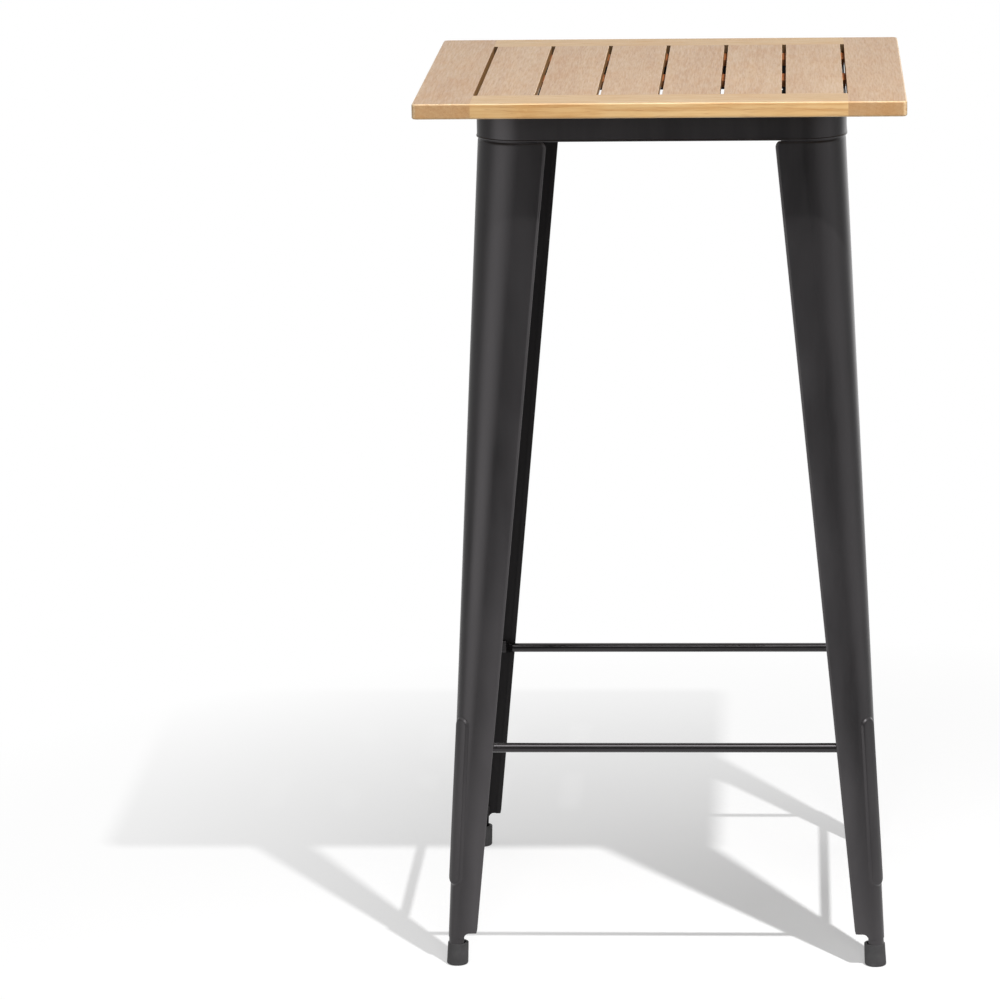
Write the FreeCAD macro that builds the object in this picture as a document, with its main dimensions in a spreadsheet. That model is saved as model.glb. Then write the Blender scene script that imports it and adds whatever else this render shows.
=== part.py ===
import FreeCAD, Part
import math
import os

import Sketcher
from FreeCAD import Placement, Rotation, Vector

# Driving sizes, in millimetres and degrees
SIZES = {
    # Whole table
    "table_height": 1100.0,
    "top_width": 600.0,
    "top_depth": 600.0,
    # Wooden top
    "board_thick": 19.0,
    "stile_width": 71.0,
    "rail_width": 71.0,
    "slat_thick": 11.0,
    "slat_gap": 5.0,
    "batten_width": 64.0,
    "corner_round": 7.0,
    "edge_round": 2.4,
    "slat_edge_round": 0.8,
    # Joints in the wood
    "tenon_length": 22.0,
    "tenon_thick": 8.0,
    "tenon_shoulder": 10.0,
    "tongue_length": 8.0,
    "tongue_thick": 5.0,
    "tongue_shoulder": 6.0,
    "wood_fit": 0.15,
    "mortise_clear": 0.5,
    "batten_clear": 0.3,
    # Screws in the wood
    "screw_shank": 3.5,
    "screw_head": 7.0,
    "screw_head_thick": 2.4,
    "screw_skin": 4.0,
    "screw_fit": 0.1,
    "counterbore_depth": 3.0,
    "counterbore_clear": 0.4,
    "slat_screw_inset": 16.0,
    # Apron
    "apron_set_in": 0.5,
    "apron_height": 39.0,
    "apron_sheet": 1.0,
    "apron_corner": 57.0,
    "flange_width": 24.0,
    "flange_screw_inset": 14.5,
    # Legs
    "leg_sheet": 1.2,
    "leg_fit": 0.15,
    "leg_top_clear": 1.0,
    "wing_floor": 34.2,
    "wing_seam": 87.4,
    "hem_width": 5.0,
    "leg_splay": 49.05,
    "tail_radius": 11.6,
    "tail_inset": 0.8,
    "tail_wrap": 196.0,
    "tail_lap": 10.0,
    "notch_height": 42.0,
    "notch_round": 6.5,
    "wing_top_round": 8.0,
    "wing_top_gap": 1.0,
    "wing_top_inset": 10.0,
    "emboss_low": 103.0,
    "emboss_high": 320.0,
    "emboss_width": 23.0,
    "emboss_rise": 2.0,
    # Studs and nuts that hold the legs in the apron
    "stud_dia": 6.0,
    "stud_length": 12.0,
    "stud_flare": 8.0,
    "stud_flare_thick": 0.4,
    "stud_reach": 66.5,
    "stud_rise": 13.0,
    "stud_hole_clear": 1.2,
    "nut_across": 10.0,
    "nut_thick": 5.0,
    "nut_flange": 13.0,
    "nut_flange_thick": 1.2,
    "thread_fit": 0.1,
    # Foot rails
    "rod_dia": 12.0,
    "rod_height": 280.0,
    "rod_fit": 0.1,
    "rod_lap": 3.0,
    "flat_taper": 9.0,
    "flat_length": 15.0,
    "flat_thick": 5.0,
    "flat_tall": 17.0,
    # Foot caps
    "cap_height": 32.0,
    "cap_floor": 4.0,
    "cap_radius_floor": 14.2,
    "cap_radius_rim": 13.5,
    "cap_edge_round": 3.0,
    "cap_fit": 0.15,
}
SLAT_COUNT = 6
CAP_ROUND_STEPS = 3

doc = FreeCAD.newDocument("bar_table")
sheet = doc.addObject("Spreadsheet::Sheet", "Sizes")
for row, (name, start) in enumerate(SIZES.items(), 1):
    sheet.set(f"A{row}", name)
    sheet.set(f"B{row}", str(start))
    sheet.setAlias(f"B{row}", name)
doc.recompute()


class Size:
    """A length with its sheet formula and its present value, kept together through sums."""

    def __init__(self, formula, value):
        self.formula = formula
        self.value = value

    def __add__(self, other):
        return Size(f"({self.formula} + {formula_of(other)})", self.value + value_of(other))

    def __sub__(self, other):
        return Size(f"({self.formula} - {formula_of(other)})", self.value - value_of(other))

    def __rsub__(self, other):
        return -self + other

    def __mul__(self, other):
        return Size(f"({self.formula} * {formula_of(other)})", self.value * value_of(other))

    def __truediv__(self, other):
        return Size(f"({self.formula} / {formula_of(other)})", self.value / value_of(other))

    def __neg__(self):
        return Size(f"(-1 * {self.formula})", -self.value)


class SheetSizes:
    """The sheet's cells, read by name."""

    def __getattr__(self, name):
        return Size(f"Sizes.{name}", float(sheet.get(name)))


def formula_of(length):
    return length.formula if isinstance(length, Size) else str(length)


def value_of(length):
    return length.value if isinstance(length, Size) else length


size = SheetSizes()

# Levels and outlines that several pieces share
underside = size.table_height - size.board_thick
seam_height = underside - size.apron_height
opening_width = size.top_width - size.stile_width * 2
opening_depth = size.top_depth - size.rail_width * 2
slat_width = (opening_width - size.slat_gap * (SLAT_COUNT + 1)) / SLAT_COUNT
slat_pitch = slat_width + size.slat_gap
slat_places = [slat_pitch * (number - (SLAT_COUNT - 1) / 2) for number in range(SLAT_COUNT)]
batten_thick = size.board_thick - size.slat_thick
batten_line = opening_depth / 2 - size.batten_clear - size.batten_width / 2
slat_screw_line = batten_line - size.batten_width / 2 + size.slat_screw_inset
apron_half_width = opening_width / 2 - size.apron_set_in
apron_half_depth = opening_depth / 2 - size.apron_set_in
leg_corner_across = apron_half_width - size.apron_sheet - size.leg_fit
leg_corner_along = apron_half_depth - size.apron_sheet - size.leg_fit
screw_hole = size.screw_shank / 2 + size.screw_fit
rod_radius = size.rod_dia / 2


def along_leg(at_floor, at_seam, height):
    """A size of the leg that changes evenly from the floor to the apron's lower edge."""
    return at_floor - (at_floor - at_seam) * height / seam_height


def leg_face(height):
    """How far a leg's outer faces have splayed out from where they meet the apron's lower edge."""
    return along_leg(size.leg_splay, 0, height)


def tail_middle(height):
    """The middle of a leg's round tail, and of its cap, measured as the leg's outer faces are."""
    return leg_face(height) - size.tail_inset - size.tail_radius


def leg_corner(height):
    """Radius of a leg's round outer corner."""
    at_seam = size.apron_corner - size.apron_sheet - size.leg_fit
    return along_leg(size.tail_radius, at_seam, height)


def leg_wing(height):
    """Width of a leg's wings, from the outer face to the hemmed edge."""
    return along_leg(size.wing_floor, size.wing_seam, height)


# Sketch helpers
def new_body(label):
    body = doc.addObject("PartDesign::Body", label)
    body.Label = label
    return body


def new_sketch(body, name, role="XY_Plane", level=None):
    """A sketch on one of the body's own origin planes, moved along the plane's normal by level."""
    sketch = body.newObject("Sketcher::SketchObject", f"{body.Label}_{name}")
    plane = next(feature for feature in body.Origin.OriginFeatures if feature.Role == role)
    sketch.AttachmentSupport = [(plane, "")]
    sketch.MapMode = "FlatFace"
    if level is not None:
        sketch.setExpression("AttachmentOffset.Base.z", level.formula)
    return sketch


def set_size(sketch, constraint, length):
    index = sketch.addConstraint(constraint)
    if isinstance(length, Size):
        sketch.setExpression(f"Constraints[{index}]", length.formula)


def pin_point(sketch, geometry, point, across, up):
    """Hold one point of a sketch by its two distances from the sketch's origin."""
    for direction, length in (("DistanceX", across), ("DistanceY", up)):
        set_size(sketch, Sketcher.Constraint(direction, -1, 1, geometry, point, value_of(length)), length)


def draw_rectangle(sketch, left, right, low, high):
    corners = [(left, low), (right, low), (right, high), (left, high)]
    places = [Vector(value_of(across), value_of(up), 0) for across, up in corners]
    first = sketch.GeometryCount
    for side in range(4):
        sketch.addGeometry(Part.LineSegment(places[side], places[(side + 1) % 4]))
    for side in range(4):
        after = first + (side + 1) % 4
        sketch.addConstraint(Sketcher.Constraint("Coincident", first + side, 2, after, 1))
        direction = "Vertical" if side % 2 else "Horizontal"
        sketch.addConstraint(Sketcher.Constraint(direction, first + side))
    pin_point(sketch, first, 1, left, low)
    pin_point(sketch, first + 2, 1, right, high)


def draw_circle(sketch, across, up, radius):
    centre = Vector(value_of(across), value_of(up), 0)
    index = sketch.addGeometry(Part.Circle(centre, Vector(0, 0, 1), value_of(radius)))
    pin_point(sketch, index, 3, across, up)
    set_size(sketch, Sketcher.Constraint("Radius", index, value_of(radius)), radius)


def draw_round_rectangle(sketch, half_across, half_along, radius):
    """A rectangle about the sketch's origin, with four equal round corners."""
    for quarter in range(4):
        turn = Rotation(Vector(0, 0, 1), 90 * quarter)
        halves = (half_along, half_across) if quarter % 2 else (half_across, half_along)
        reach = halves[0].value
        straight = (halves[1] - radius).value
        start = turn.multVec(Vector(reach, -straight, 0))
        end = turn.multVec(Vector(reach, straight, 0))
        sketch.addGeometry(Part.LineSegment(start, end))
        centre = turn.multVec(Vector(reach - radius.value, straight, 0))
        whole = Part.Circle(centre, Vector(0, 0, 1), radius.value)
        sweep = (math.radians(90 * quarter), math.radians(90 * quarter + 90))
        sketch.addGeometry(Part.ArcOfCircle(whole, *sweep))
    for quarter in range(4):
        line = 2 * quarter
        arc = line + 1
        after = (line + 2) % 8
        sketch.addConstraint(Sketcher.Constraint("Tangent", line, 2, arc, 1))
        sketch.addConstraint(Sketcher.Constraint("Tangent", arc, 2, after, 1))
        sketch.addConstraint(Sketcher.Constraint("Horizontal" if quarter % 2 else "Vertical", line))
        if quarter:
            sketch.addConstraint(Sketcher.Constraint("Equal", 1, arc))
        direction = "DistanceY" if quarter % 2 else "DistanceX"
        half = half_along if quarter % 2 else half_across
        side = -half if quarter > 1 else half
        set_size(sketch, Sketcher.Constraint(direction, -1, 1, line, 1, side.value), side)
    set_size(sketch, Sketcher.Constraint("Radius", 1, radius.value), radius)


def add_pad(body, sketch, length):
    """Raise a sketch along its normal."""
    feature = body.newObject("PartDesign::Pad", f"{sketch.Name}_pad")
    feature.Profile = sketch
    feature.setExpression("Length", length.formula)
    return feature


def add_pocket(body, sketch, depth, along_normal=False):
    """Cut a sketch into the body, against the sketch's normal or along it."""
    feature = body.newObject("PartDesign::Pocket", f"{sketch.Name}_pocket")
    feature.Profile = sketch
    feature.setExpression("Length", depth.formula)
    feature.Reversed = along_normal
    return feature


def add_fillet(body, base, radius, wanted):
    """Round those edges of the base feature whose two ends and middle all lie where wanted says."""
    doc.recompute()
    names = []
    for number, edge in enumerate(base.Shape.Edges, 1):
        first, last = edge.ParameterRange
        points = [edge.valueAt(first + (last - first) * share) for share in (0, 0.5, 1)]
        if all(wanted(point) for point in points):
            names.append(f"Edge{number}")
    feature = body.newObject("PartDesign::Fillet", f"{base.Name}_round")
    feature.Base = (base, names)
    feature.setExpression("Radius", radius.formula)
    return feature


def place(node, across, along, up, turn=0.0):
    """Put a sub-part at its place, turned about the vertical."""
    node.Placement = Placement(Vector(), Rotation(Vector(0, 0, 1), turn))
    for axis, length in (("x", across), ("y", along), ("z", up)):
        if isinstance(length, Size):
            node.setExpression(f"Placement.Base.{axis}", length.formula)
    return node


def near(first, second):
    return abs(first - second) < 0.01


# Wooden top: each board is drawn about its own middle, with its upper face at zero
def pad_board(body, name, half_across, half_along, top, thick):
    sketch = new_sketch(body, name, level=top - thick if isinstance(top, Size) else -thick)
    draw_rectangle(sketch, -half_across, half_across, -half_along, half_along)
    return add_pad(body, sketch, thick)


def on_board_face(point):
    """Whether a point lies on the upper or the lower face of a stile or a rail."""
    return near(point.z, 0) or near(point.z, -size.board_thick.value)


def make_stile(label, side, turn):
    """A side board, with a mortise near each end of its inner edge for the end boards' tenons."""
    body = new_body(label)
    half_across = size.stile_width / 2
    half_along = size.top_depth / 2
    board = pad_board(body, "board", half_across, half_along, None, size.board_thick)

    def on_corner(point):
        return near(point.x, half_across.value) and near(abs(point.y), half_along.value)

    def on_outer_rim(point):
        past_side = point.x - half_across.value + size.corner_round.value
        past_end = abs(point.y) - half_along.value + size.corner_round.value
        outside = near(past_side, size.corner_round.value) or near(past_end, size.corner_round.value)
        return on_board_face(point) and (outside or min(past_side, past_end) > 0)

    cornered = add_fillet(body, board, size.corner_round, on_corner)
    add_fillet(body, cornered, size.edge_round, on_outer_rim)
    mortise = new_sketch(body, "mortises", "YZ_Plane", -half_across)
    half_tenon = size.tenon_thick / 2 + size.wood_fit
    reach = size.rail_width / 2 - size.tenon_shoulder + size.wood_fit
    middle = half_along - size.rail_width / 2
    for centre in (-middle, middle):
        low = -(size.board_thick / 2) - half_tenon
        high = half_tenon - size.board_thick / 2
        draw_rectangle(mortise, centre - reach, centre + reach, low, high)
    add_pocket(body, mortise, size.tenon_length + size.mortise_clear, along_normal=True)
    body.Tip = body.Group[-1]
    return place(body, (opening_width / 2 + half_across) * side, 0, size.table_height, turn)


def make_rail(label, side, turn):
    """An end board, with a tenon at each end and a mortise for each slat's tongue."""
    body = new_body(label)
    half_across = opening_width / 2
    half_along = size.rail_width / 2
    board = pad_board(body, "board", half_across, half_along, None, size.board_thick)

    def on_outer_rim(point):
        return on_board_face(point) and near(point.y, half_along.value)

    add_fillet(body, board, size.edge_round, on_outer_rim)
    tenon_top = -(size.board_thick / 2) + size.tenon_thick / 2
    reach = half_across + size.tenon_length
    pad_board(body, "tenons", reach, half_along - size.tenon_shoulder, tenon_top, size.tenon_thick)
    mortise = new_sketch(body, "mortises", "XZ_Plane", half_along)
    half_tongue = slat_width / 2 - size.tongue_shoulder + size.wood_fit
    low = -(size.slat_thick / 2) - size.tongue_thick / 2 - size.wood_fit
    high = low + size.tongue_thick + size.wood_fit * 2
    for centre in slat_places:
        draw_rectangle(mortise, centre - half_tongue, centre + half_tongue, low, high)
    add_pocket(body, mortise, size.tongue_length + size.mortise_clear)
    body.Tip = body.Group[-1]
    return place(body, 0, (opening_depth / 2 + half_along) * side, size.table_height, turn)


def flange_screw_places():
    """Middles of the screws through the apron's flange: one for each slat end, one for each side."""
    side_line = apron_half_width - size.flange_screw_inset
    end_line = apron_half_depth - size.flange_screw_inset
    places = []
    for along in (-end_line, end_line):
        places += [(across, along) for across in slat_places]
    return places + [(-side_line, 0), (side_line, 0)]


def make_slat(label, centre):
    """A slat with a tongue at each end and blind holes for the screws that come up into it."""
    body = new_body(label)
    half_across = slat_width / 2
    half_along = opening_depth / 2
    board = pad_board(body, "board", half_across, half_along, None, size.slat_thick)

    def on_long_arris(point):
        return near(abs(point.x), half_across.value) and near(point.z, 0)

    add_fillet(body, board, size.slat_edge_round, on_long_arris)
    tongue_top = -(size.slat_thick / 2) + size.tongue_thick / 2
    reach = half_along + size.tongue_length
    pad_board(body, "tongues", half_across - size.tongue_shoulder, reach, tongue_top, size.tongue_thick)
    holes = new_sketch(body, "screw_holes", level=-size.slat_thick)
    spots = [(0, along) for along in (-slat_screw_line, 0, slat_screw_line)]
    for across, along in flange_screw_places():
        if abs(value_of(across) - centre.value) < half_across.value:
            spots.append((across - centre if isinstance(across, Size) else -centre, along))
    for across, along in spots:
        draw_circle(holes, across, along, screw_hole)
    add_pocket(body, holes, size.slat_thick - size.screw_skin + size.screw_fit, along_normal=True)
    body.Tip = body.Group[-1]
    return place(body, centre, 0, size.table_height)


def make_batten(label, line, screw_line):
    """A flat cross batten that ties the slats from below and rests on the apron's flange."""
    body = new_body(label)
    half_across = opening_width / 2 - size.batten_clear
    half_along = size.batten_width / 2
    pad_board(body, "board", half_across, half_along, None, batten_thick)
    bores = new_sketch(body, "screw_holes", level=-batten_thick)
    counterbores = new_sketch(body, "counterbores", level=-batten_thick)
    for across in slat_places:
        draw_circle(bores, across, screw_line - line, screw_hole)
        draw_circle(counterbores, across, screw_line - line, size.screw_head / 2 + size.counterbore_clear)
    for across, along in flange_screw_places():
        offset = along - line
        if abs(value_of(offset)) < half_along.value:
            draw_circle(bores, across, offset, screw_hole)
    add_pocket(body, bores, batten_thick, along_normal=True)
    add_pocket(body, counterbores, size.counterbore_depth, along_normal=True)
    body.Tip = body.Group[-1]
    return place(body, 0, line, size.table_height - size.slat_thick)


def make_apron():
    """A pressed ring with round corners and an in-turned flange that carries the wooden top."""
    body = new_body("apron")

    def outline(name, inset, level=None):
        sketch = new_sketch(body, name, level=level)
        halves = (apron_half_width - inset, apron_half_depth - inset)
        draw_round_rectangle(sketch, *halves, size.apron_corner - inset)
        return sketch

    add_pad(body, outline("outside", 0, -size.apron_height), size.apron_height)
    add_pocket(body, outline("inside", size.apron_sheet, -size.apron_sheet), size.apron_height)
    add_pocket(body, outline("flange_opening", size.flange_width), size.apron_sheet * 2)
    holes = new_sketch(body, "screw_holes")
    for across, along in flange_screw_places():
        draw_circle(holes, across, along, screw_hole)
    add_pocket(body, holes, size.apron_sheet * 2)
    body.Tip = body.Group[-1]
    return place(body, 0, 0, underside)


# Legs: pressed sheet, drawn as the back right leg, about the corner where its outer faces enter the apron
def straight_solid(lower, upper):
    """A solid between two outlines with matching edges: flat between lines, ruled between arcs."""
    faces = [Part.Face(lower), Part.Face(upper)]
    for below, above in zip(lower.OrderedEdges, upper.OrderedEdges):
        if below.Curve.TypeId == "Part::GeomLine":
            start, end = [vertex.Point for vertex in below.Vertexes]
            far_start, far_end = [vertex.Point for vertex in above.Vertexes]
            faces.append(Part.Face(Part.makePolygon([start, end, far_end, far_start, start])))
        else:
            faces.append(Part.makeRuledSurface(below, above))
    shell = Part.makeShell(faces)
    shell.sewShape()
    solid = Part.Solid(shell)
    if solid.Volume < 0:
        solid.reverse()
    return solid


def corner_wire(face, corner, inner, height):
    """A square outline whose outermost corner is round."""
    start = Vector(face, face - corner, height)
    end = Vector(face - corner, face, height)
    middle = face - corner * (1 - math.sqrt(0.5))
    square = [Vector(inner, face, height), Vector(inner, inner, height), Vector(face, inner, height)]
    corners = [end] + square + [start]
    edges = [Part.LineSegment(one, two).toShape() for one, two in zip(corners, corners[1:])]
    edges.append(Part.Arc(start, Vector(middle, middle, height), end).toShape())
    return Part.Wire(edges)


def corner_block(inset, reach, low, high):
    """A leaning block inside the leg's outer faces by inset, reaching past the wings' edges."""
    wires = []
    for height in (low, high):
        face = leg_face(height).value
        inner = face - leg_wing(height).value - reach
        wires.append(corner_wire(face - inset, leg_corner(height).value - inset, inner, height))
    return straight_solid(*wires)


def pill_prism(width, low, high):
    """An upright pill outline, pushed outwards along the leg's diagonal."""
    half = width / 2
    lower_left = Vector(-half, 0, low + half)
    lower_right = Vector(half, 0, low + half)
    upper_left = Vector(-half, 0, high - half)
    upper_right = Vector(half, 0, high - half)
    outline = Part.Wire([
        Part.Arc(lower_left, Vector(0, 0, low), lower_right).toShape(),
        Part.LineSegment(lower_right, upper_right).toShape(),
        Part.Arc(upper_right, Vector(0, 0, high), upper_left).toShape(),
        Part.LineSegment(upper_left, lower_left).toShape(),
    ])
    prism = Part.Face(outline).extrude(Vector(0, 2 * size.leg_splay.value, 0))
    prism.rotate(Vector(), Vector(0, 0, 1), -45)
    return prism


def hem_strip(low, high, swap):
    """The edge of a wing folded back flat against its inside."""
    sheet_thick = size.leg_sheet.value
    wires = []
    for height in (low, high):
        face = leg_face(height).value
        edge = face - leg_wing(height).value
        across = (edge, edge + size.hem_width.value)
        along = (face - 2 * sheet_thick, face - sheet_thick / 2)
        corners = [(0, 0), (1, 0), (1, 1), (0, 1), (0, 0)]
        points = [Vector(across[i], along[j], height) for i, j in corners]
        if swap:
            points = [Vector(point.y, point.x, point.z) for point in points]
        wires.append(Part.makePolygon(points))
    return straight_solid(*wires)


def tail_wire(height):
    """The open round section of the leg's lower end, with its gap towards the table's middle."""
    outer = size.tail_radius.value
    inner = outer - size.leg_sheet.value
    middle = tail_middle(height).value
    half_wrap = size.tail_wrap.value / 2

    def point(radius, share):
        angle = math.radians(45 + half_wrap * share)
        return Vector(middle + radius * math.cos(angle), middle + radius * math.sin(angle), height)

    def arc(radius, shares):
        return Part.Arc(*[point(radius, share) for share in shares]).toShape()

    return Part.Wire([
        arc(outer, (-1, -0.5, 0)),
        arc(outer, (0, 0.5, 1)),
        Part.LineSegment(point(outer, 1), point(inner, 1)).toShape(),
        arc(inner, (1, 0.5, 0)),
        arc(inner, (0, -0.5, -1)),
        Part.LineSegment(point(inner, -1), point(outer, -1)).toShape(),
    ])


def wing_prisms(points, arc_middle):
    """An outline in a wing's plane, pushed through each wing; an arc joins its first two points."""
    start = -size.wing_seam.value
    corners = [Vector(across, start, up) for across, up in points]
    middle = Vector(arc_middle[0], start, arc_middle[1])
    edges = [Part.Arc(corners[0], middle, corners[1]).toShape()]
    ring = corners[1:] + corners[:1]
    edges += [Part.LineSegment(one, two).toShape() for one, two in zip(ring, ring[1:])]
    length = 2 * (size.wing_seam + size.leg_splay).value
    prism = Part.Face(Part.Wire(edges)).extrude(Vector(0, length, 0))
    return [prism, prism.mirror(Vector(), Vector(1, -1, 0))]


def notch_prisms(spare):
    """What is cut from the wings' lower ends, beside the tail, with a round inner corner."""
    radius = size.notch_round.value
    high = size.notch_height.value
    low = high - radius
    half_wrap = math.radians(45 + size.tail_wrap.value / 2)
    edge = tail_middle(high).value + size.tail_radius.value * math.cos(half_wrap)
    inner = edge - size.wing_seam.value
    slant = radius * math.sqrt(0.5)
    points = [(edge, low), (edge - radius, high), (inner, high), (inner, low - spare), (edge, low - spare)]
    return wing_prisms(points, (edge - radius + slant, low + slant))


def shoulder_prisms(spare, high):
    """What is cut from the wings' upper ends, so that they round off under the apron and fit inside it."""
    radius = size.wing_top_round.value
    top = (seam_height - size.wing_top_gap).value
    low = top - radius
    edge = (leg_face(low) - leg_wing(low)).value
    inner = edge + size.wing_top_inset.value
    slant = radius * (1 - math.sqrt(0.5))
    ceiling = high + spare
    points = [(edge, low), (edge + radius, top), (inner, top), (inner, ceiling), (edge - spare, ceiling),
              (edge - spare, low)]
    return wing_prisms(points, (edge + slant, top - slant))


def leg_shape():
    """A tapering open corner section with hemmed edges, a raised pill on its corner and a round tail."""
    sheet_thick = size.leg_sheet.value
    rise = size.emboss_rise.value
    low = (size.notch_height - size.notch_round).value
    high = (underside - size.apron_sheet - size.leg_top_clear).value
    spare = size.tail_lap.value
    emboss = (size.emboss_low.value, size.emboss_high.value)
    width = size.emboss_width.value

    outside = corner_block(0, 0, low, high)
    raised = corner_block(-rise, 0, low, high).common(pill_prism(width, *emboss))
    inside = corner_block(sheet_thick, spare, low - spare, high + spare)
    pressed = corner_block(sheet_thick - rise, spare, low - spare, high + spare)
    hollow = pill_prism(width - 2 * sheet_thick, emboss[0] + sheet_thick, emboss[1] - sheet_thick)
    pressed = pressed.common(hollow)

    shape = outside.fuse(raised).cut(inside).cut(pressed)
    shape = shape.fuse([hem_strip(low, high, False), hem_strip(low, high, True)])
    shape = shape.cut(notch_prisms(spare) + shoulder_prisms(spare, high))
    tail_top = size.notch_height.value + spare
    shape = shape.fuse(straight_solid(tail_wire(size.cap_floor.value), tail_wire(tail_top)))

    hole = (size.stud_dia.value + size.stud_hole_clear.value) / 2
    for direction in (Vector(1, 0, 0), Vector(0, 1, 0)):
        beside = Vector(direction.y, direction.x, 0) * size.stud_reach.value
        start = Vector(0, 0, (seam_height + size.stud_rise).value) - beside - direction * hole * 2
        shape = shape.cut(Part.makeCylinder(hole, size.wing_seam.value, start, direction))
    return shape


# Foot rails: round rods with flattened ends, drawn along x with the flats on the side of negative y
def round_section(across):
    radius = rod_radius.value
    quarters = []
    for quarter in range(4):
        angles = [math.radians(135 + 90 * quarter + step) for step in (0, 45, 90)]
        points = [Vector(across, radius * math.cos(angle), radius * math.sin(angle)) for angle in angles]
        quarters.append(Part.Arc(*points).toShape())
    return Part.Wire(quarters)


def flat_section(across):
    outer = -rod_radius.value
    inner = outer + size.flat_thick.value
    middle = (outer + inner) / 2
    top = size.flat_tall.value / 2
    straight = top - size.flat_thick.value / 2
    return Part.Wire([
        Part.LineSegment(Vector(across, outer, straight), Vector(across, outer, -straight)).toShape(),
        Part.Arc(Vector(across, outer, -straight), Vector(across, middle, -top),
                 Vector(across, inner, -straight)).toShape(),
        Part.LineSegment(Vector(across, inner, -straight), Vector(across, inner, straight)).toShape(),
        Part.Arc(Vector(across, inner, straight), Vector(across, middle, top),
                 Vector(across, outer, straight)).toShape(),
    ])


def rail_shape(corner):
    """A rod between legs with corners that far from the middle: round, then flat behind the hems."""
    wing_edge = (corner + leg_face(size.rod_height) - leg_wing(size.rod_height)).value
    round_end = wing_edge + size.rod_lap.value
    flat_start = round_end + size.flat_taper.value
    flat_end = flat_start + size.flat_length.value
    shape = Part.makeLoft([round_section(-round_end), round_section(round_end)], True, True)
    taper = Part.makeLoft([round_section(round_end), flat_section(flat_start)], True, True)
    flat = Part.makeLoft([flat_section(flat_start), flat_section(flat_end)], True, True)
    ends = [taper, flat, taper.mirror(Vector(), Vector(1, 0, 0)), flat.mirror(Vector(), Vector(1, 0, 0))]
    return shape.fuse(ends)


def rail_placement(corner, turn):
    """Against the hems of two legs, leaning with their faces, then turned to its side of the table."""
    lean = math.atan2(size.leg_splay.value, seam_height.value)
    hem = size.leg_sheet * 2 + size.rod_fit
    line = (corner + leg_face(size.rod_height) - hem).value - rod_radius.value / math.cos(lean)
    tilt = Rotation(Vector(1, 0, 0), -math.degrees(lean))
    seat = Placement(Vector(0, -line, size.rod_height.value), tilt)
    return Placement(Vector(), Rotation(Vector(0, 0, 1), turn)).multiply(seat)


# Foot caps: open cups that lean with the legs, so that their floors lie flat on the ground
def make_foot_cap(label, across, along, turn):
    """A cup round a leg's tail, with its lower edge rounded in steps."""
    body = new_body(label)

    def level_circle(name, height, radius):
        sketch = new_sketch(body, name, level=height if isinstance(height, Size) else None)
        middle = tail_middle(height)
        draw_circle(sketch, middle, middle, radius)
        return sketch

    levels = []
    for step in range(1, CAP_ROUND_STEPS + 1):
        angle = math.radians(90 * step / CAP_ROUND_STEPS)
        height = size.cap_edge_round * round(1 - math.cos(angle), 4)
        share = height / size.cap_height
        side = size.cap_radius_floor + (size.cap_radius_rim - size.cap_radius_floor) * share
        radius = side - size.cap_edge_round * round(1 - math.sin(angle), 4)
        levels.append(level_circle(f"edge_{step}", height, radius))
    levels.append(level_circle("rim", size.cap_height, size.cap_radius_rim))
    outer = body.newObject("PartDesign::AdditiveLoft", f"{label}_outside")
    outer.Profile = level_circle("floor", 0, size.cap_radius_floor - size.cap_edge_round)
    outer.Sections = levels
    outer.Ruled = True
    bore_radius = size.tail_radius + size.cap_fit
    bore = body.newObject("PartDesign::SubtractiveLoft", f"{label}_bore")
    bore.Profile = level_circle("bore_floor", size.cap_floor, bore_radius)
    bore.Sections = [level_circle("bore_mouth", size.cap_height, bore_radius)]
    bore.Ruled = True
    body.Tip = bore
    return place(body, across, along, 0, turn)


# Fasteners
def pan_screw(length):
    """A screw that points up, with the seat of its head at zero."""
    head = Part.makeCylinder(size.screw_head.value / 2, size.screw_head_thick.value)
    head.translate(Vector(0, 0, -size.screw_head_thick.value))
    head = head.makeFillet(size.screw_head_thick.value / 2, [head.Edges[2]])
    tip = size.screw_shank.value / 2
    shank = Part.makeCylinder(tip, length - tip)
    point = Part.makeCone(tip, tip / 4, tip, Vector(0, 0, length - tip))
    return head.fuse([shank, point]).removeSplitter()


def cylinder_inward(radius, length):
    return Part.makeCylinder(radius.value, length.value, Vector(), Vector(0, -1, 0))


def weld_stud():
    """A threaded stud on a small weld flare, along y, with the flare's face at zero."""
    flare = cylinder_inward(size.stud_flare / 2, size.stud_flare_thick)
    shank = cylinder_inward(size.stud_dia / 2, size.stud_length)
    return flare.fuse(shank).removeSplitter()


def flange_nut():
    """A hexagon nut on a round flange, along y, with the flange's face at zero."""
    corner = size.nut_across.value / math.sqrt(3)
    flange = cylinder_inward(size.nut_flange / 2, size.nut_flange_thick)
    angles = [math.radians(60 * side) for side in range(7)]
    points = [Vector(corner * math.cos(angle), 0, corner * math.sin(angle)) for angle in angles]
    hexagon = Part.Face(Part.makePolygon(points)).extrude(Vector(0, -size.nut_thick.value, 0))
    bore = cylinder_inward(size.stud_dia / 2 + size.thread_fit, size.nut_thick)
    return flange.fuse(hexagon).removeSplitter().cut(bore)


def set_feature(label, shape, placement=None):
    """A sub-part whose shape is worked out from the sheet's sizes above."""
    feature = doc.addObject("Part::Feature", label)
    feature.Label = label
    feature.Shape = shape
    feature.Placement = placement or Placement()
    return feature


def group_of(label, shape, placements):
    copies = []
    for placement in placements:
        copy = shape.copy()
        copy.Placement = placement
        copies.append(copy)
    return set_feature(label, Part.Compound(copies))


def upright(across, along, height):
    return Placement(Vector(value_of(across), value_of(along), height.value), Rotation())


# Each leg and each rail, a quarter turn after the one before it
CORNERS = ("back_right", "back_left", "front_left", "front_right")
SIDES = ("front", "right", "back", "left")


def quarter_turns(names):
    return [(name, 90 * number) for number, name in enumerate(names)]


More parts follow.
